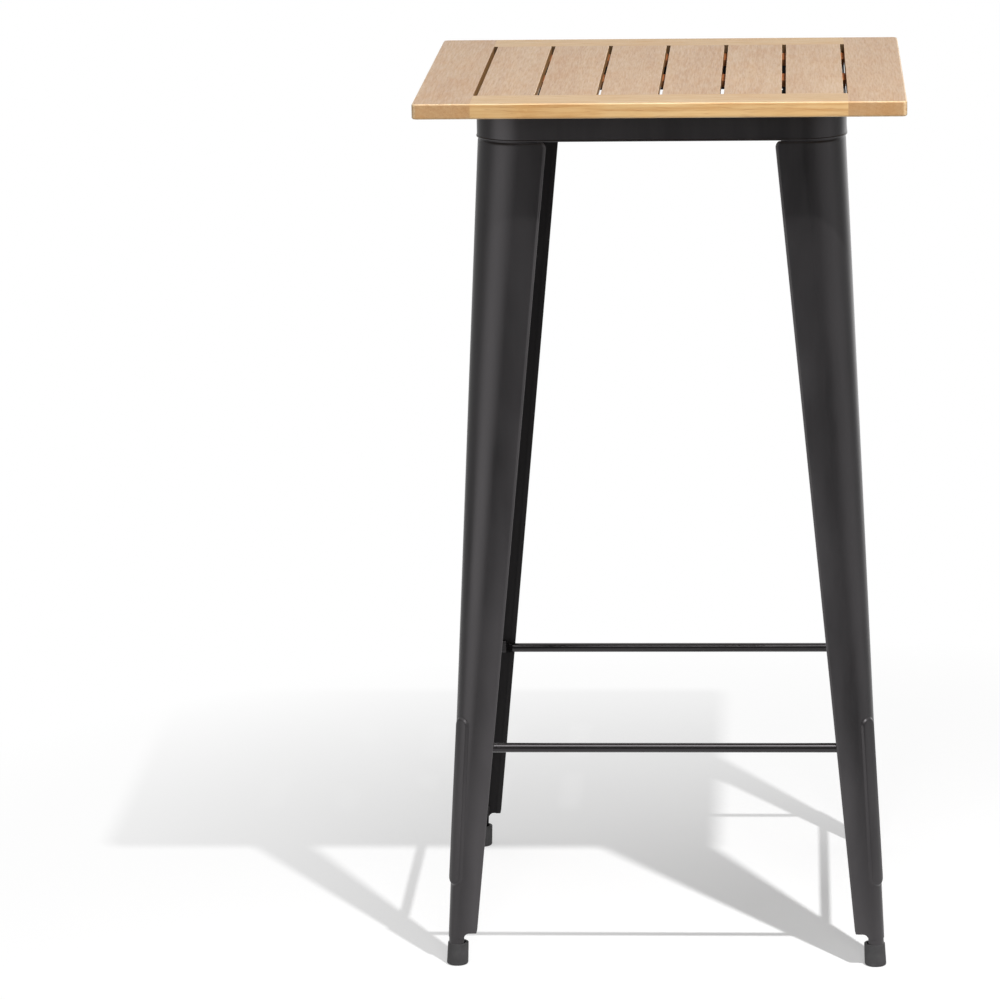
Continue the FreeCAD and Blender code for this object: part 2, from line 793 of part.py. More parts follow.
def corner_place(name):
    """Where a leg's outer faces enter the apron, from the table's middle."""
    across = leg_corner_across if "right" in name else -leg_corner_across
    along = leg_corner_along if "back" in name else -leg_corner_along
    return across, along


def corner_placement(name, turn):
    across, along = corner_place(name)
    return Placement(Vector(across.value, along.value, 0), Rotation(Vector(0, 0, 1), turn))


def wing_placements(reach):
    """One place in each wing of each leg, at reach from the leg's outer face at the apron's lower edge."""
    height = (seam_height + size.stud_rise).value
    beside = -size.stud_reach.value
    placements = []
    for name, turn in quarter_turns(CORNERS):
        whole = corner_placement(name, turn)
        placements.append(whole.multiply(Placement(Vector(beside, reach, height), Rotation())))
        quarter = Rotation(Vector(0, 0, 1), -90)
        placements.append(whole.multiply(Placement(Vector(reach, beside, height), quarter)))
    return placements


def make_table():
    nodes = [make_stile("stile_right", 1, 0), make_stile("stile_left", -1, 180)]
    nodes += [make_rail("rail_back", 1, 0), make_rail("rail_front", -1, 180)]
    for number, centre in enumerate(slat_places, 1):
        nodes.append(make_slat(f"slat_{number}", centre))
    nodes.append(make_batten("batten_front", -batten_line, -slat_screw_line))
    nodes.append(make_batten("batten_middle", 0, 0))
    nodes.append(make_batten("batten_back", batten_line, slat_screw_line))
    nodes.append(make_apron())

    leg = leg_shape()
    for name, turn in quarter_turns(CORNERS):
        nodes.append(set_feature(f"leg_{name}", leg.copy(), corner_placement(name, turn)))
        nodes.append(make_foot_cap(f"foot_cap_{name}", *corner_place(name), turn))
    for name, turn in quarter_turns(SIDES):
        corners = (leg_corner_across, leg_corner_along)
        along, out = corners[::-1] if turn % 180 else corners
        nodes.append(set_feature(f"foot_rail_{name}", rail_shape(along), rail_placement(out, turn)))

    screw_top = size.table_height - size.screw_skin
    slat_seat = underside + size.counterbore_depth
    screw_rows = (-slat_screw_line, 0, slat_screw_line)
    slat_spots = [(across, along) for along in screw_rows for across in slat_places]
    slat_screw = pan_screw((screw_top - slat_seat).value)
    nodes.append(group_of("slat_screws", slat_screw, [upright(*spot, slat_seat) for spot in slat_spots]))
    top_seat = underside - size.apron_sheet
    top_screw = pan_screw((screw_top - top_seat).value)
    top_spots = flange_screw_places()
    nodes.append(group_of("top_screws", top_screw, [upright(*spot, top_seat) for spot in top_spots]))

    nodes.append(group_of("leg_studs", weld_stud(), wing_placements(size.leg_fit.value)))
    flange_top = seam_height + size.stud_rise + size.nut_flange / 2
    nut_seat = (leg_face(flange_top) - size.leg_sheet - size.thread_fit).value
    nodes.append(group_of("leg_nuts", flange_nut(), wing_placements(nut_seat)))
    return nodes


def check_table(nodes):
    """Stop if any feature failed, any cut removed nothing, or any sub-part is not a valid solid."""
    for item in doc.Objects:
        if "Invalid" in item.State or "Error" in item.State:
            raise RuntimeError(f"{item.Label} failed: {item.State}")
        if item.TypeId == "PartDesign::Pocket" and item.Shape.Volume >= item.BaseFeature.Shape.Volume - 0.1:
            raise RuntimeError(f"{item.Label} cuts nothing")
    for node in nodes:
        if node.Shape.isNull() or not node.Shape.isValid() or not node.Shape.Solids:
            raise RuntimeError(f"{node.Label} is not a valid solid")


nodes = make_table()
doc.recompute()
check_table(nodes)
os.makedirs("parts", exist_ok=True)
for node in nodes:
    node.Shape.exportStep(f"parts/{node.Label}.step")
    box = node.Shape.BoundBox
    print(f"{node.Label}: {len(node.Shape.Solids)} solids, {node.Shape.Volume:.0f} mm3,"
          f" x {box.XMin:.1f} to {box.XMax:.1f}, y {box.YMin:.1f} to {box.YMax:.1f},"
          f" z {box.ZMin:.1f} to {box.ZMax:.1f}")
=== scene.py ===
# %% [markdown]
# A tall bar table: a slatted hardwood top on a base of black powder-coated sheet steel.
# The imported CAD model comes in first, as a fixed frame in metres, with the floor at zero.
# Boards, rods and fasteners keep their CAD shapes and get their finishes here. The legs and the
# apron are pressed sheet and the foot caps are soft rubber, with gentler curves than the solids
# carry, so those pieces are formed again.

# %% Load the frame
import math
from collections import namedtuple

import bpy
from mathutils import Matrix, Vector


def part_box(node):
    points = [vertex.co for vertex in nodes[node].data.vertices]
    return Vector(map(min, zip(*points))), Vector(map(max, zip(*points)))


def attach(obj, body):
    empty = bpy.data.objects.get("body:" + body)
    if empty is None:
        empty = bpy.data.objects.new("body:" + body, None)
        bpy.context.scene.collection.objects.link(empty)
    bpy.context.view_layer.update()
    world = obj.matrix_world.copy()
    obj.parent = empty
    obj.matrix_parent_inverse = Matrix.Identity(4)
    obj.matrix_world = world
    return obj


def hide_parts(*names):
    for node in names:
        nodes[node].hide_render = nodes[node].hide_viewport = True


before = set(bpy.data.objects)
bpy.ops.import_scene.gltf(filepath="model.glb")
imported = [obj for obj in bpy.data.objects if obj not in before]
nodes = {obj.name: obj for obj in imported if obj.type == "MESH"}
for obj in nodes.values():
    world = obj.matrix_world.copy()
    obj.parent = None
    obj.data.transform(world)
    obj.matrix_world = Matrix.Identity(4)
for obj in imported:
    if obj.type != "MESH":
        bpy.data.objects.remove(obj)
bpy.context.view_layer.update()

print("nodes in the frame:", len(nodes))

# %% [markdown]
# A finish is a node tree that ends in one Principled shader. A few small helpers keep each tree
# readable: they make an empty finish, add a node and fill its sockets by name, do one sum, or give
# a noise that is stretched along a direction. Stretched noise is the base of wood fibre and of the
# faint streaks in pressed sheet, and it reads Object coordinates, so it stays put on the object.

# %% Helpers that build a node tree
def new_finish(name):
    """An empty finish: its material, its node tree and its Principled shader."""
    material = bpy.data.materials.new(name)
    material.use_nodes = True
    tree = material.node_tree
    tree.nodes.clear()
    output = tree.nodes.new("ShaderNodeOutputMaterial")
    shader = tree.nodes.new("ShaderNodeBsdfPrincipled")
    tree.links.new(shader.outputs["BSDF"], output.inputs["Surface"])
    return material, tree, shader


def add_node(tree, kind, links=None, values=None, **settings):
    """Add a node: links come from other nodes' sockets, values are typed in, settings are its menus."""
    node = tree.nodes.new(kind)
    for key, value in settings.items():
        setattr(node, key, value)
    for key, value in (values or {}).items():
        node.inputs[key].default_value = value
    for key, socket in (links or {}).items():
        tree.links.new(socket, node.inputs[key])
    return node


def calculate(tree, operation, first, second=0.0, clamp=False):
    """One sum on two sockets or numbers."""
    inputs = {0: first, 1: second}
    links = {key: value for key, value in inputs.items() if isinstance(value, bpy.types.NodeSocket)}
    values = {key: value for key, value in inputs.items() if key not in links}
    node = add_node(tree, "ShaderNodeMath", links, values, operation=operation, use_clamp=clamp)
    return node.outputs["Value"]


# %% Helpers that make patterns and put them on
NOISE_RANGE = (0.3, 0.7)  # nearly all of a noise lies between these
MIX_FIRST, MIX_SECOND, MIX_RESULT = 6, 7, 2  # where a Mix node keeps its colours


def stretched_noise(tree, vector, scale, detail=2.0, roughness=0.5):
    """Noise with its own number of features per metre along x, y and z."""
    squeeze = add_node(tree, "ShaderNodeMapping", {"Vector": vector}, {"Scale": scale})
    noise = add_node(
        tree, "ShaderNodeTexNoise", {"Vector": squeeze.outputs["Vector"]},
        {"Scale": 1.0, "Detail": detail, "Roughness": roughness},
    )
    return noise.outputs["Fac"]


def remap(tree, factor, low, high, to_low=0.0, to_high=1.0):
    """Stretch the part of a factor between low and high over a new range."""
    node = add_node(
        tree, "ShaderNodeMapRange", {"Value": factor},
        {"From Min": low, "From Max": high, "To Min": to_low, "To Max": to_high},
    )
    return node.outputs["Result"]


def mix_colour(tree, factor, first, second, blend="MIX"):
    """Mix two colours, each a socket or a plain (r, g, b)."""
    node = add_node(tree, "ShaderNodeMix", data_type="RGBA", blend_type=blend, clamp_factor=True)
    for key, value in {"Factor": factor, MIX_FIRST: first, MIX_SECOND: second}.items():
        socket = node.inputs[key]
        if isinstance(value, bpy.types.NodeSocket):
            tree.links.new(value, socket)
        elif isinstance(value, tuple):
            socket.default_value = (*value, 1.0)
        else:
            socket.default_value = value
    return node.outputs[MIX_RESULT]


def bump(tree, shader, height, strength, distance):
    """Lift the surface by a pattern of heights, over a distance in metres."""
    node = add_node(
        tree, "ShaderNodeBump", {"Height": height}, {"Strength": strength, "Distance": distance}
    )
    tree.links.new(node.outputs["Normal"], shader.inputs["Normal"])


def dress(material, *names):
    """Give CAD nodes a finish in place of the plain one they came with."""
    for name in names:
        nodes[name].data.materials.clear()
        nodes[name].data.materials.append(material)
    print(material.name, "on", ", ".join(names))


# %% [markdown]
# The boards are an oiled, pale hardwood. A solid texture is the honest way to make it: growth rings
# are thin tubes round a pith that lies below the board, so the same rule draws long streaks on the
# top and short arcs on the sawn ends. Each board has its own pith, so no two boards match. Noises
# stretched along the grain add streaks, fibre and the short dark pores of the wood.

# %% Growth rings
RING_SPACING = 0.0065
WAVE_PERIOD = 2 * math.pi / 20  # how soon a wave texture of scale one repeats
SWAY_SCALE, SWAY_REACH = (9, 1.6, 9), 0.03


def growth_rings(tree, board):
    """Rings round the board's pith, swaying a little along the grain."""
    slow = add_node(tree, "ShaderNodeMapping", {"Vector": board}, {"Scale": SWAY_SCALE})
    sway = add_node(
        tree, "ShaderNodeTexNoise", {"Vector": slow.outputs["Vector"]}, {"Scale": 1.0, "Detail": 2.0}
    )
    warped = add_node(
        tree, "ShaderNodeVectorMath", {0: sway.outputs["Color"], 2: board}, {1: (SWAY_REACH,) * 3},
        operation="MULTIPLY_ADD",
    )
    return add_node(
        tree, "ShaderNodeTexWave", {"Vector": warped.outputs["Vector"]},
        {"Scale": WAVE_PERIOD / RING_SPACING, "Distortion": 1.2, "Detail": 2.0, "Detail Scale": 3.0},
        wave_type="RINGS", rings_direction="Y", wave_profile="SAW",
    ).outputs["Fac"]


print(f"growth rings about {1000 * RING_SPACING} mm apart")

# %% [markdown]
# A board here isn't the same colour all round. Its top is pale and pinker, and its sides are painted a
# much lighter honey, painted light that keeps the upright faces as bright as the lit top. Its sawn ends
# drink more oil and go brown, its arrises are painted pale, partly wear and partly a painted highlight
# on the rounded edges, and the walls of the narrow gaps are painted dark, as painted shade. All of that
# can be read from the way a face looks and from where it is, so four masks made from the normal and the
# position serve every board.

# %% Masks for the faces of a board
TOP_TURN, END_TURN = (0.35, 0.8), (0.6, 0.95)  # how far a face turns as its mask goes from nought to one
WALL_TURN, ARRIS_TURN = (0.7, 0.3), (0.985, 0.8)
GAP_MARGIN = 0.0004
GAP_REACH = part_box("stile_right")[0].x + GAP_MARGIN


def face_masks(tree, place, along_x):
    """Where the wood is a top, a sawn end, a wall of a gap or an arris, each from nought to one."""
    normal = add_node(tree, "ShaderNodeSeparateXYZ", {"Vector": place["Normal"]}).outputs
    spot = add_node(tree, "ShaderNodeSeparateXYZ", {"Vector": place["Object"]}).outputs
    lean = {axis: calculate(tree, "ABSOLUTE", normal[axis]) for axis in "XYZ"}
    aside = {axis: calculate(tree, "ABSOLUTE", spot[axis]) for axis in "XY"}
    top = remap(tree, normal["Z"], *TOP_TURN)
    end = remap(tree, lean["X" if along_x else "Y"], *END_TURN)
    reach = calculate(tree, "MAXIMUM", aside["X"], aside["Y"])
    inside = calculate(tree, "LESS_THAN", reach, GAP_REACH)
    gap = calculate(tree, "MULTIPLY", inside, remap(tree, lean["Z"], *WALL_TURN))
    sideways = calculate(tree, "MAXIMUM", lean["X"], lean["Y"])
    arris = remap(tree, calculate(tree, "MAXIMUM", sideways, lean["Z"]), *ARRIS_TURN)
    return top, end, gap, arris


print(f"gaps between slats lie within {GAP_REACH:.4f} m of the middle")

# %% [markdown]
# On those colours lie the marks of the wood, from broad clouds down to pores, each a noise with its
# own number of features per metre across and along the grain. A mark darkens the wood by a shade of
# its own, so it multiplies the tone below it and never hides it.

# %% The marks of the wood
CLOUD_SCALE = (16, 2.2, 16)
BLOTCH_SCALE = (38, 15, 38)
STREAK_SCALE = (170, 6, 170)
FIBRE_SCALE = (480, 26, 480)
PORE_SCALE = (1150, 38, 1150)
PORE_STRENGTH, PORE_DEPTH = 0.25, 0.0004
Shade = namedtuple("Shade", "low high share colour")
BLOTCHES = Shade(0.40, 0.68, 1.00, (0.98, 0.91, 0.80))
RINGS = Shade(0.20, 1.00, 0.45, (0.91, 0.85, 0.78))
STREAKS = Shade(0.42, 0.72, 0.70, (0.90, 0.83, 0.77))
SIDE_GRAIN = Shade(0.45, 0.68, 1.00, (0.78, 0.66, 0.52))
FIBRES = Shade(0.42, 0.72, 0.68, (0.90, 0.84, 0.78))
PORES = Shade(0.60, 0.72, 0.50, (0.58, 0.46, 0.38))


def darken(tree, tone, mark, shade, where=None):
    """Multiply a tone by a shade's colour, more and more as a mark goes from its low to its high."""
    share = remap(tree, mark, shade.low, shade.high, 0.0, shade.share)
    if where is not None:
        share = calculate(tree, "MULTIPLY", share, where)
    return mix_colour(tree, share, tone, shade.colour, "MULTIPLY")


# %% A hardwood finish for one board
Wood = namedtuple("Wood", "top_pale top_deep side_pale side_deep end gap arris smooth rough specular")
END_SHARE, ARRIS_HIGHLIGHT_SHARE, GAP_SHADE_SHARE = 0.8, 0.6, 0.92


def wood_finish(name, along_x, pith, wood):
    """A finish with its grain along x or y and its pith at a place across, along and up."""
    material, tree, shader = new_finish(name)
    place = add_node(tree, "ShaderNodeTexCoord").outputs
    turned = add_node(
        tree, "ShaderNodeMapping", {"Vector": place["Object"]},
        {"Rotation": (0, 0, math.radians(90 if along_x else 0))},
    )
    board = add_node(
        tree, "ShaderNodeMapping", {"Vector": turned.outputs["Vector"]},
        {"Location": tuple(-value for value in pith)},
    ).outputs["Vector"]
    cloud = remap(tree, stretched_noise(tree, board, CLOUD_SCALE, 3.0), *NOISE_RANGE)
    blotch = stretched_noise(tree, board, BLOTCH_SCALE, 3.0)
    streak = stretched_noise(tree, board, STREAK_SCALE, 3.0, 0.6)
    fibre = stretched_noise(tree, board, FIBRE_SCALE, 3.0, 0.6)
    pores = stretched_noise(tree, board, PORE_SCALE, 1.0)
    top, end, gap, arris = face_masks(tree, place, along_x)
    side = calculate(tree, "SUBTRACT", 1.0, calculate(tree, "MAXIMUM", top, end))

    upper = mix_colour(tree, cloud, wood.top_pale, wood.top_deep)
    outer = mix_colour(tree, cloud, wood.side_pale, wood.side_deep)
    # the sides are painted much lighter than the top: painted light on the upright faces
    tone = mix_colour(tree, top, outer, upper)
    tone = mix_colour(tree, calculate(tree, "MULTIPLY", end, END_SHARE), tone, wood.end)
    # arrises painted pale: partly wear, partly a painted highlight on the rounded edges
    tone = mix_colour(tree, calculate(tree, "MULTIPLY", arris, ARRIS_HIGHLIGHT_SHARE), tone, wood.arris)
    tone = darken(tree, tone, blotch, BLOTCHES)
    tone = darken(tree, tone, growth_rings(tree, board), RINGS)
    tone = darken(tree, tone, streak, STREAKS)
    tone = darken(tree, tone, streak, SIDE_GRAIN, where=side)
    tone = darken(tree, tone, fibre, FIBRES)
    tone = darken(tree, tone, pores, PORES)
    # gap walls painted dark: painted shade down the narrow gaps
    tone = mix_colour(tree, calculate(tree, "MULTIPLY", gap, GAP_SHADE_SHARE), tone, wood.gap)
    tree.links.new(tone, shader.inputs["Base Color"])
    gloss = remap(tree, fibre, *NOISE_RANGE, wood.smooth, wood.rough)
    tree.links.new(gloss, shader.inputs["Roughness"])
    shader.inputs["Specular IOR Level"].default_value = wood.specular
    bump(tree, shader, remap(tree, pores, 0.55, 0.75, 1.0, 0.0), PORE_STRENGTH, PORE_DEPTH)
    return material


# %% Boards of the top
SLAT_WOOD = Wood(
    top_pale=(0.450, 0.301, 0.174), top_deep=(0.397, 0.249, 0.133),
    # side colours painted lighter than the top's: painted light on the upright faces
    side_pale=(0.70, 0.468, 0.222), side_deep=(0.50, 0.310, 0.128),
    # the arris colour is partly a painted highlight on the rounded edges
    # the gap colour is painted shade down the narrow gaps
    end=(0.44, 0.267, 0.133), gap=(0.388, 0.217, 0.087), arris=(0.95, 0.76, 0.50),
    smooth=0.36, rough=0.52, specular=0.4,
)
RAIL_WOOD = SLAT_WOOD._replace(
    # the rails' nearly black gap colour is painted shade at the gaps' far ends
    top_pale=(0.510, 0.348, 0.172), top_deep=(0.456, 0.294, 0.130), gap=(0.04, 0.022, 0.01)
)
STILE_PITHS = {"stile_left": (-0.29, 0.4, 1.045), "stile_right": (0.243, 0.7, 1.025)}
RAIL_PITHS = {"rail_front": (-0.26, 0.33, 1.03), "rail_back": (0.275, -0.2, 1.04)}
PITH_LEVEL, PITH_RISE, PITH_SWING, PITH_STEP = 1.03, 0.02, 0.03, 0.37
for name, pith in STILE_PITHS.items():
    dress(wood_finish(f"hardwood_{name}", False, pith, SLAT_WOOD), name)
for name, pith in RAIL_PITHS.items():
    dress(wood_finish(f"hardwood_{name}", True, pith, RAIL_WOOD), name)
for number in range(1, 7):
    low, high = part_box(f"slat_{number}")
    pith = (
        (low.x + high.x) / 2 + PITH_SWING * math.sin(number * 2.4),
        PITH_STEP * number,
        PITH_LEVEL + PITH_RISE * math.cos(number * 1.7),
    )
    dress(wood_finish(f"hardwood_slat_{number}", False, pith, SLAT_WOOD), f"slat_{number}")

# %% [markdown]
# The battens under the slats are a redder, darker wood, sawn and left unpolished, that only shows
# through the gaps and from below. They take the same recipe with deeper colours and hardly any gloss.

# %% Battens
BATTEN_WOOD = Wood(
    top_pale=(0.46, 0.18, 0.07), top_deep=(0.33, 0.115, 0.042),
    side_pale=(0.36, 0.15, 0.065), side_deep=(0.26, 0.10, 0.042),
    # the gap colour is painted shade, as on the other boards
    end=(0.22, 0.09, 0.04), gap=(0.16, 0.065, 0.026), arris=(0.42, 0.19, 0.08),
    smooth=0.75, rough=0.9, specular=0.1,
)
BATTEN_STARTS = {"batten_front": 0.1, "batten_middle": 0.33, "batten_back": 0.56}
PITH_ASIDE = 0.02
for name, start in BATTEN_STARTS.items():
    low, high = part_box(name)
    pith = ((low.y + high.y) / -2 + PITH_ASIDE, start, PITH_LEVEL)
    dress(wood_finish(f"batten_wood_{name}", True, pith, BATTEN_WOOD), name)

# %% [markdown]
# Powder coat is a baked plastic skin. It has a satin gloss, a very fine orange-peel, and soft clouds
# where the powder lay thicker. Three noises at three sizes give that: clouds in the gloss, a fine
# peel as bump, and faint streaks down each leg. From near the top of the legs down to the floor the
# coat turns paler: partly floor dust, partly painted light, the pale floor's bounce on the lower legs
# against the shade of the top on the upper ones. The paling is stronger near the folded edges, where a
# pressed sheet's own attribute says how near its fold is, which is painted light along the wings. The
# inner faces take a thinner, duller coat of their own, a little darker, which partly paints in the
# shade inside the folded sheet, and the folds take a paler coat, a painted highlight along the hems.

# %% Black powder coat
COAT_CLOUD, COAT_STREAK, COAT_PEEL = (14, 14, 5), (130, 130, 9), (900, 900, 900)
PEEL_STRENGTH, PEEL_DEPTH = 0.1, 0.0002
COAT_SHINE = (1.0, 0.95, 0.98, 1.0)
FOLD_MARK = "near_fold"
# paler towards the floor and near the folds: partly dust, partly painted light from the pale floor
DUST_AND_FLOOR_LIGHT = (0.052, 0.049, 0.051)
DUST_AND_FLOOR_LIGHT_TOP = 0.95
DUST_AND_FLOOR_LIGHT_LEAST, PAINTED_LIGHT_AT_FOLD = 0.8, 1.3


def powder_coat(name, dark, light, smooth, rough, dust=DUST_AND_FLOOR_LIGHT, specular=0.5):
    """A coat between two tones and two roughnesses, paler towards the floor: dust and painted floor light.
    """
    material, tree, shader = new_finish(name)
    place = add_node(tree, "ShaderNodeTexCoord").outputs["Object"]
    cloud = stretched_noise(tree, place, COAT_CLOUD, 4.0)
    streak = stretched_noise(tree, place, COAT_STREAK, 3.0)
    peel = stretched_noise(tree, place, COAT_PEEL, 2.0)
    tone = mix_colour(tree, remap(tree, cloud, *NOISE_RANGE), dark, light)
    tone = mix_colour(tree, remap(tree, streak, 0.40, 0.75, 0.0, 0.8), tone, light)
    height = add_node(tree, "ShaderNodeSeparateXYZ", {"Vector": place}).outputs["Z"]
    # paler towards the floor: dust and painted light from the floor
    low = remap(tree, height, DUST_AND_FLOOR_LIGHT_TOP, 0.0)
    dusty_and_lit = calculate(tree, "MULTIPLY", low, remap(tree, cloud, 0.1, 0.9))
    # stronger near a fold: painted light along the wing
    fold = add_node(tree, "ShaderNodeAttribute", attribute_name=FOLD_MARK).outputs["Fac"]
    painted_fold_light = remap(tree, fold, 0.0, 1.0, DUST_AND_FLOOR_LIGHT_LEAST, DUST_AND_FLOOR_LIGHT_LEAST + PAINTED_LIGHT_AT_FOLD)
    tone = mix_colour(tree, calculate(tree, "MULTIPLY", dusty_and_lit, painted_fold_light), tone, dust)
    tree.links.new(tone, shader.inputs["Base Color"])
    tree.links.new(remap(tree, cloud, *NOISE_RANGE, smooth, rough), shader.inputs["Roughness"])
    shader.inputs["Specular IOR Level"].default_value = specular
    shader.inputs["Specular Tint"].default_value = COAT_SHINE
    bump(tree, shader, peel, PEEL_STRENGTH, PEEL_DEPTH)
    return material


sheet_coat = powder_coat(
    "black_powder_coat", dark=(0.005, 0.0047, 0.0049), light=(0.014, 0.0131, 0.0136),
    smooth=0.30, rough=0.40,
)
# the inner faces: thinner and duller, a little darker as painted shade inside the folded sheet
thin_shaded_coat = powder_coat(
    "thin_shaded_inner_coat", dark=(0.006, 0.0055, 0.0057), light=(0.010, 0.0092, 0.0095),
    smooth=0.60, rough=0.75, dust=(0.02, 0.019, 0.0193), specular=0.2,
)
# the folds: a much paler coat, a painted highlight along the hems
fold_highlight_coat = powder_coat(
    "painted_fold_highlight", dark=(0.026, 0.0245, 0.0255), light=(0.044, 0.0415, 0.0425),
    smooth=0.32, rough=0.42,
)
rod_coat = powder_coat(
    "black_rod_coat", dark=(0.006, 0.0057, 0.0059), light=(0.010, 0.0095, 0.0098),
    smooth=0.17, rough=0.23, dust=(0.009, 0.0085, 0.0086),
)
RODS = [name for name in nodes if name.startswith("foot_rail_")]
dress(rod_coat, *RODS)

# %% [markdown]
# A leg is one pressed sheet: a tapering strip bent to a round corner, its two long edges folded back
# into hems, and a long pill pressed out of the corner near the floor. Just under the apron the sheet
# steps in, so that it can slip inside. Cutting all that from a block would lose the softness of a
# pressing. So it starts as a flat grid, as the sheet does, and the grid is then formed: each vertex
# moves to its place on the bent strip. Solidify gives the sheet its thickness. The grid's columns run
# round the section and its rows run up the leg, closest where the form is fine.

# %% Sizes of a leg in millimetres, from the corner where its outer faces enter the apron
SEAM = 1042.0
SPLAY = 49.05
SHEET = 1.15
WING_AT_FLOOR, WING_GAIN, WING_BOW = 34.2, 53.2, 0.9
HEM_ROLL, HEM_WIDTH = 1.22, 5.0
TAIL_RADIUS, TAIL_INSET, TAIL_HALF_WRAP = 11.6, 0.8, math.radians(98)
APRON_CORNER = 55.85
PILL_LOW, PILL_HIGH, PILL_HALF, PILL_RISE, PILL_SLOPE = 103.0, 320.0, 11.5, 2.8, 4.0
NOTCH_TOP, NOTCH_ROUND, NOTCH_REACH = 42.0, 6.5, 20.2
SHOULDER_TOP, SHOULDER_ROUND, SHOULDER_INSET = 1041.0, 8.0, 10.0
LEG_TOP = 1079.0
STEP_START, STEP_RUN, STEP_DEPTH = 1038.0, 2.5, 0.9


def ease(share):
    """From nought to one, starting and ending gently."""
    share = min(max(share, 0.0), 1.0)
    return share * share * (3 - 2 * share)


def leg_face(height):
    """Distance of the wings' outer faces past the corner: the splay, less the step under the apron."""
    return SPLAY * (1 - height / SEAM) - STEP_DEPTH * ease((height - STEP_START) / STEP_RUN)


def corner_radius(height):
    """Radius of the bend between the wings, which grows from the tail's to the apron's."""
    return TAIL_RADIUS + (APRON_CORNER - TAIL_RADIUS) * height / SEAM


def wing_width(height):
    """Width of a wing, with the round shoulder where it goes under the apron."""
    width = WING_AT_FLOOR + WING_GAIN * height / SEAM
    above = height - SHOULDER_TOP + SHOULDER_ROUND
    if height > SHOULDER_TOP:
        width -= SHOULDER_INSET
    elif above > 0:
        width -= SHOULDER_ROUND - math.sqrt(SHOULDER_ROUND ** 2 - above ** 2)
    return width


def notch_edge(reach):
    """Height of the lower edge at a distance from the outer face: a concave round beside the tail."""
    beside = min(max(reach - NOTCH_REACH, 0.0), NOTCH_ROUND)
    return NOTCH_TOP - NOTCH_ROUND + math.sqrt(NOTCH_ROUND ** 2 - (NOTCH_ROUND - beside) ** 2)


def pill_rise(across, height):
    """How far the pressed pill lifts the sheet: full inside, easing to nothing over its slope."""
    nearest = min(max(height, PILL_LOW + PILL_HALF), PILL_HIGH - PILL_HALF)
    inside = PILL_HALF - math.hypot(across, height - nearest)
    return PILL_RISE * ease(inside / PILL_SLOPE)


for height in (NOTCH_TOP, PILL_HIGH, STEP_START - SHOULDER_ROUND):
    print(f"at {height:.0f} mm a wing is {wing_width(height):.1f} mm wide")

# %% Forming one row of the strip
HEM_STEPS, FOLD_STEPS, FLAT_STEPS, ARC_STEPS, TAIL_STEPS = 2, 6, 14, 30, 14


def half_row(height):
    """Points and outward normals along one wing, from the hem's inner end to the middle of the corner."""
    face = leg_face(height)
    radius = corner_radius(height)
    edge = face - wing_width(height)
    straight = face - radius
    bowed = face - WING_BOW
    row = []
    for step in range(HEM_STEPS + 1):
        x = edge + HEM_ROLL + HEM_WIDTH * (1 - step / HEM_STEPS)
        row.append((x, bowed - 2 * HEM_ROLL, 0, -1))
    for step in range(1, FOLD_STEPS):
        turn = math.pi * step / FOLD_STEPS
        side, out = -math.sin(turn), -math.cos(turn)
        row.append((edge + HEM_ROLL * (1 + side), bowed + HEM_ROLL * (out - 1), side, out))
    for step in range(FLAT_STEPS):
        share = step / FLAT_STEPS
        x = edge + HEM_ROLL + (straight - edge - HEM_ROLL) * share
        row.append((x, face - WING_BOW * (1 - share) ** 2, 0, 1))
    for step in range(ARC_STEPS + 1):
        turn = math.pi / 4 * step / ARC_STEPS
        side, out = math.sin(turn), math.cos(turn)
        row.append((straight + radius * side, straight + radius * out, side, out))
    return row


def formed_row(height, lower_edge=False):
    """Both wings of one row, with the pill pressed out. The lowest row follows the notch."""
    half = half_row(height)
    whole = half + [(y, x, out, side) for x, y, side, out in half[-2::-1]]
    points = []
    for x, y, side, out in whole:
        rise = pill_rise((x - y) / math.sqrt(2), height)
        level = notch_edge(leg_face(height) - min(x, y)) if lower_edge else height
        points.append(Vector((x + side * rise, y + out * rise, level)) / 1000)
    return points


def ring_point(middle, radius, angle, height):
    """A point of a ring whose middle lies on the leg's diagonal."""
    return Vector((middle + radius * math.cos(angle), middle + radius * math.sin(angle), height)) / 1000


def tail_row(height):
    """The round tail that goes into the foot cap: most of a ring inside the corner."""
    middle = leg_face(height) - TAIL_RADIUS
    points = []
    for step in range(-TAIL_STEPS, TAIL_STEPS + 1):
        angle = math.radians(45) - TAIL_HALF_WRAP * step / TAIL_STEPS
        points.append(ring_point(middle, TAIL_RADIUS - TAIL_INSET, angle, height))
    return points


print("points in one row of a leg:", len(formed_row(PILL_HIGH)))

# %% [markdown]
# A grid takes the places of the rows it is given. It is then closed where its rows meet, turned to
# face outwards, and made as thick as the sheet. Its faces say which coat they carry: the strips next
# to a hem's end are inside, the strips round the fold take the paler coat of a painted highlight, and
# the rest is the plain coat.

# %% Helpers that form a sheet
OUTER, INNER, FOLD_HIGHLIGHT = range(3)
FOLD_START, FOLD_END = 4, 9
SMOOTH_ANGLE = math.radians(40)


def form_grid(name, rows):
    """Add a flat grid and move its vertices to the given rows."""
    strips, steps = len(rows[0]) - 1, len(rows) - 1
    bpy.ops.object.select_all(action="DESELECT")
    bpy.ops.mesh.primitive_grid_add(x_subdivisions=strips, y_subdivisions=steps, size=1.0)
    piece = bpy.context.object
    piece.name = name
    for vertex in piece.data.vertices:
        column = round((vertex.co.x + 0.5) * strips)
        row = round((vertex.co.y + 0.5) * steps)
        vertex.co = rows[row][column]
    return piece


